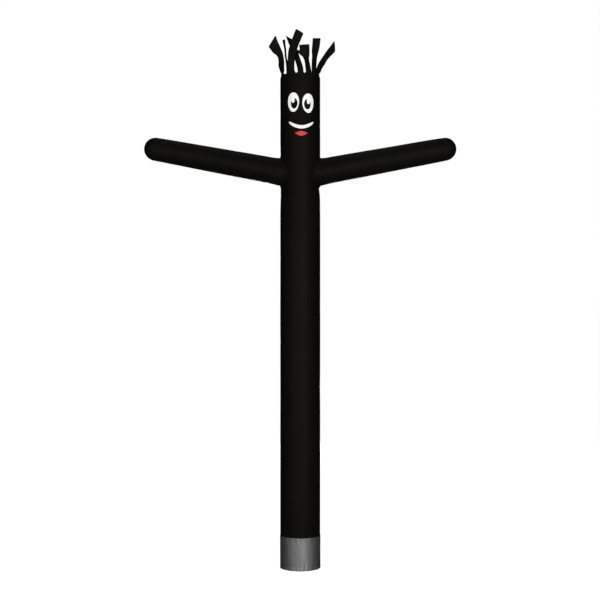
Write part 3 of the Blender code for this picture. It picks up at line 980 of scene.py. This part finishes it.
# The hair is a band round the head's top edge, cut into loose strips above it.
hair = {
    "wall": 0.0010,
    "band": 0.028,
    "clearance": 0.0005,
    "across": 10,
    "rowHeight": 0.0095,
    "bandRows": 5,
    "bandColumn": 0.012,  # widest face of the band between two strips
    "cornerRows": 6,
    "samples": 80,  # along a strip, to find its length
    "fillet": (0.016, 0.020),  # width and height of the round corner at a strip's root
    "filletGap": 0.001,
    "corner": 0.013,  # radius of a strip's tip corners
    "tipBow": 0.35,
    "follows": 0.045,  # how far up a strip still follows the rim
    "flutter": (0.0055, 0.080, 0.075),  # depth, width and length of the waves in a strip
    "edgeWave": (0.0024, 0.055),
    "clothStep": 0.14,  # from one strip to the next on the flat cloth
    "stitches": (0.006, 0.021),
    # root angle, root width, middle, its turn, tip, its turn, tip width, slant of the tip's cut
    "strips": (
        (-68, 76, (-222, -112, 5782), -36, (-321, -125, 5991), -8, 129, 78),
        (-29, 88, (-98, -218, 5827), -12, (-6, -205, 6089), 6, 98, -18),
        (1, 68, (-45, -180, 5812), -34, (-129, -112, 6035), -56, 90, -115),
        (26, 70, (74, -228, 5766), 48, (46, -272, 5922), 2, 112, -12),
        (45.5, 74, (163, -160, 5808), 42, (187, -150, 6019), 12, 92, 14),
        (66, 86, (272, -95, 5784), 36, (394, -105, 5939), 24, 91, -84),
        (106, 74, (232, 84, 5735), 104, (322, 168, 5880), 98, 88, 20),
        (150, 74, (58, 186, 5862), 121, (-91, 110, 5964), 126, 72, -20),
        (176, 74, (36, 292, 5672), 180, (48, 322, 5470), 196, 86, 25),
        (196, 72, (-104, 216, 5790), 240, (-86, 216, 6000), 252, 86, -20),
        (219, 70, (-163, 172, 5837), 251, (-190, 150, 6066), 250, 82, -8),
        (258, 74, (-222, 62, 5752), 262, (-262, 132, 5930), 268, 86, -35),
    ),
    # strip, share of its length, reach, and how far its left and right edges stand out there
    "unevenCuts": (
        (0, 0.08, 0.10, 0.009, 0.0),
        (0, 0.27, 0.13, 0.016, -0.010),
        (0, 0.62, 0.13, -0.022, 0.004),
        (1, 0.36, 0.18, -0.007, 0.0),
        (3, 0.25, 0.22, 0.006, 0.0),
        (3, 0.735, 0.11, 0.032, 0.0),
        (3, 0.93, 0.08, 0.006, 0.0),
        (4, 0.75, 0.11, 0.0, 0.006),
        (5, 0.10, 0.10, 0.0, 0.009),
        (5, 0.62, 0.20, -0.005, -0.005),
        (10, 0.30, 0.13, 0.012, 0.0),
    ),
}


hairLook = dict(
    blackLook, dark=(0.0026, 0.0023, 0.0014, 1), light=(0.0068, 0.0063, 0.0048, 1),
    rows=[("level", line) for line in hair["stitches"]],
)


def cubic(start, leave, end, arrive, t):
    return (
        start * (2 * t**3 - 3 * t**2 + 1) + leave * (t**3 - 2 * t**2 + t)
        + end * (3 * t**2 - 2 * t**3) + arrive * (t**3 - t**2)
    )


def stripLine(root, middle, tip, s):
    up = Vector((0, 0, (middle - root).length))
    through = (tip - root) / 2
    if s < 0.5:
        return cubic(root, up, middle, through, 2 * s)
    return cubic(middle, through, tip, tip - middle, 2 * s - 1)


def stripFrame(row, s):
    # centre, across, along and outward directions, and the strip's half width and bow
    rootDeg, rootWidth, middle, middleTurn, tip, tipTurn, tipWidth = row[:7]
    angle = math.radians(rootDeg)
    rim = tube["radius"] - tube["draw"] + hair["clearance"]
    root = Vector((rim * math.sin(angle), -rim * math.cos(angle), tube["high"]))
    middle, tip = Vector(middle) / 1000, Vector(tip) / 1000
    centre = stripLine(root, middle, tip, s)
    before = stripLine(root, middle, tip, max(s - 0.01, 0.0))
    along = (stripLine(root, middle, tip, min(s + 0.01, 1.0)) - before).normalized()
    if s < 0.5:
        way = rootDeg + (middleTurn - rootDeg) * (1 - (1 - 2 * s) ** 2)
    else:
        way = middleTurn + (tipTurn - middleTurn) * (1 - (2 - 2 * s) ** 2)
    across = Vector((math.cos(math.radians(way)), math.sin(math.radians(way)), 0))
    across = (across - along * across.dot(along)).normalized()
    half = (rootWidth + (tipWidth - rootWidth) * s * s) / 2000
    bow = (1 - math.cos(half / tube["radius"])) * tube["radius"] * (1 - (1 - hair["tipBow"]) * s)
    return centre, across, along, across.cross(along), half, bow


def stripAngles(row):
    half = row[1] / 2000 / tube["radius"]
    return math.radians(row[0]) - half, math.radians(row[0]) + half


def makeStrip(bm, number, fillets, rimAngles):
    # fillets are the widths of the round corners left and right of the root
    row = hair["strips"][number]
    across, cut = hair["across"], row[7]
    samples, rounds = hair["samples"], hair["cornerRows"]
    runs = runAlong([stripFrame(row, k / samples)[0] for k in range(samples + 1)])
    filletHigh, corner = hair["fillet"][1], hair["corner"]

    def shareAt(run):
        k = min(max(sum(1 for r in runs if r <= run) - 1, 0), samples - 1)
        return (k + (run - runs[k]) / (runs[k + 1] - runs[k])) / samples

    places = []  # run from the root, share of the root corner left, and drop of the tip's corners
    for k in range(rounds + 1):
        a = math.pi / 2 * k / rounds
        places.append((filletHigh * (1 - math.cos(a)), 1 - math.sin(a), 0.0))
    end = runs[-1] - corner
    places += [(run, 0.0, 0.0) for run in spaced((filletHigh, end, hair["rowHeight"]))[1:]]
    for k in range(1, rounds + 1):
        a = math.pi / 2 * k / rounds
        places.append((end + corner * math.sin(a), 0.0, corner * (1 - math.cos(a))))

    def place(i, j):
        run, rounded, drop = places[j]
        s = shareAt(run)
        centre, sideways, along, outward, half, bow = stripFrame(row, s)
        share = 2 * i / across - 1
        edge = half - drop
        most, pitch = hair["edgeWave"]
        wave = most * smoothStep(0.02, 0.10, run)
        left = edge + rounded * fillets[0] + wave * noiseThrough(run / pitch, number * 2.0, 0.3)
        right = edge + rounded * fillets[1] + wave * noiseThrough(run / pitch, number * 2.0, 8.3)
        wide = share * (right if share > 0 else left)
        bend = bow * (wide / half) ** 2
        for strip, middle, reach, outLeft, outRight in hair["unevenCuts"]:
            if strip == number:
                swell = trough(s - middle, reach)
                wide += swell * abs(share) * (outRight if share > 0 else -outLeft)
        point = centre + sideways * wide - outward * bend
        point += along * (wide / half * cut / 2000 * s**3)
        most, pitch, pitchAlong = hair["flutter"]
        wind = most * smoothStep(0.03, 0.30, run)
        lift = noiseThrough(wide / pitch, run / pitchAlong, number * 3.7)
        point += outward * (wind * lift)
        rise = smoothStep(0.0, hair["follows"], run)
        if rise < 1:
            middle = math.radians(row[0])
            reach = rimAngles[1] - middle if share > 0 else middle - rimAngles[0]
            angle = middle + (wide / tube["radius"] if j else share * reach)
            rim = onBody(angle, tube["high"], hair["clearance"])
            point = (rim + Vector((0, 0, run))).lerp(point, rise)
        return point, (number * hair["clothStep"] + wide, hair["band"] + run)

    addCloth(bm, across, len(places) - 1, place)


def makeHair():
    bm = newCloth()
    strips, across, bandRows = hair["strips"], hair["across"], hair["bandRows"]
    radius = tube["radius"]
    edges = [stripAngles(row) for row in strips]
    following = edges[1:] + edges[:1]
    gaps = [(after[0] - edge[1]) % turn for edge, after in zip(edges, following)]
    fillets = [min(hair["fillet"][0], gap * radius / 2 - hair["filletGap"]) for gap in gaps]
    corners = list(zip(fillets[-1:] + fillets[:-1], fillets))  # left and right of each strip
    rims = [
        (left - wideLeft / radius, right + wideRight / radius)
        for (left, right), (wideLeft, wideRight) in zip(edges, corners)
    ]
    angles = []  # of the band's corners
    for k, (left, right) in enumerate(rims):
        middle = math.radians(strips[k][0])
        for i in range(across):
            share = 2 * i / across - 1
            reach = (right - middle) if share > 0 else (middle - left)
            angles.append(middle + share * reach)
        gap = (rims[(k + 1) % len(rims)][0] - right) % turn
        count = max(1, math.ceil(gap * radius / hair["bandColumn"]))
        angles += [right + gap * n / count for n in range(count)]
    angles.append(angles[0] + turn)
    rows = [tube["high"] - hair["band"] * (1 - k / bandRows) for k in range(bandRows + 1)]

    def placeBand(i, j):
        angle = angles[i]
        return onBody(angle, rows[j], hair["clearance"]), (radius * angle, rows[j] - rows[0])

    addCloth(bm, len(angles) - 1, bandRows, placeBand)
    for k, corner in enumerate(corners):
        makeStrip(bm, k, corner, rims[k])
    sewUp(bm)
    piece = clothPiece("hairStrips", bm, hair["wall"], clothMaterial("hairNylon", hairLook), 1)
    fitPiece(piece, "hair_nylon", "hair")


# The studio has a pale floor, large soft lights in front, and others above and behind.
studio = {
    "floorSize": 600.0,
    "floorColour": (0.08, 0.08, 0.08, 1),
    "floorRoughness": 0.9,
    "floorGlow": 0.998,  # only as the camera sees it
    "worldWhite": 1.0,
    "worldLight": 0.03,
    "lights": (  # name, place, what it points at, size, power
        ("keyLight", (4.4, -12.4, 3.6), (0, 0, 3.0), (3.8, 7.0), 1450.0),
        ("sideLight", (-6.0, -11.0, 3.6), (0, 0, 3.0), (3.8, 7.0), 650.0),
        ("topLight", (0, 1.5, 11.0), (0, 0, 5), (4.0, 4.0), 90.0),
        ("backLight", (0, 12.0, 4.0), (0, 0, 3.0), (3.0, 6.0), 2600.0),
    ),
    "cameraHeight": 3.055,
    "cameraAway": 14.0,
    "cameraReach": 1000,
    "sensor": 36,  # mm
    "pictureSize": 600,
    "metresPerPixel": 0.0114386,
    "shiftPixels": -0.245,
}


def addLight(name, place, target, size, power):
    data = bpy.data.lights.new(name, "AREA")
    data.shape = "RECTANGLE"
    data.size, data.size_y = size
    data.energy = power
    light = bpy.data.objects.new(name, data)
    light.location = place
    light.rotation_euler = (Vector(target) - Vector(place)).to_track_quat("-Z", "Y").to_euler()
    light.visible_camera = False
    scene.collection.objects.link(light)


def makeStudio():
    bm = bmesh.new()
    bmesh.ops.create_grid(bm, x_segments=8, y_segments=8, size=studio["floorSize"] / 2)
    material, tree, shader = newMaterial("paleFloor")
    seen = tree.nodes.new("ShaderNodeLightPath").outputs["Is Camera Ray"]
    feedAll(shader, {
        "Base Color": studio["floorColour"],
        "Roughness": studio["floorRoughness"],
        "Specular IOR Level": 0.0,
        "Emission Color": (1, 1, 1, 1),
        "Emission Strength": calc("MULTIPLY", seen, studio["floorGlow"]),
    })
    floor = addObject("studioFloor", bm, material)

    world = bpy.data.worlds.new("studioAir")
    scene.world = world
    world.use_nodes = True
    tree = world.node_tree
    seen = tree.nodes.new("ShaderNodeLightPath").outputs["Is Camera Ray"]
    rest, white = studio["worldLight"], studio["worldWhite"]
    strength = calc("MULTIPLY_ADD", seen, white - rest, rest)
    feedAll(tree.nodes["Background"], {"Color": (1, 1, 1, 1), "Strength": strength})

    for light in studio["lights"]:
        addLight(*light)

    pixels, sensor = studio["pictureSize"], studio["sensor"]
    camera = bpy.data.cameras.new("studioCamera")
    camera.sensor_width = sensor
    camera.lens = sensor * studio["cameraAway"] / (pixels * studio["metresPerPixel"])
    camera.shift_x = studio["shiftPixels"] / pixels
    camera.clip_end = studio["cameraReach"]
    holder = bpy.data.objects.new("studioCamera", camera)
    holder.location = (0, -studio["cameraAway"], studio["cameraHeight"])
    holder.rotation_euler = (math.pi / 2, 0, 0)
    scene.collection.objects.link(holder)
    scene.camera = holder
    scene.view_settings.view_transform = "Standard"
    print("the studio is lit")


makeTube()
makeArm("armRight", 1, "arm_right")
makeArm("armLeft", -1, "arm_left")
makeCollar()
makeCrown()
makeFace()
makeHair()
makeStudio()
print("the dancer is dressed")
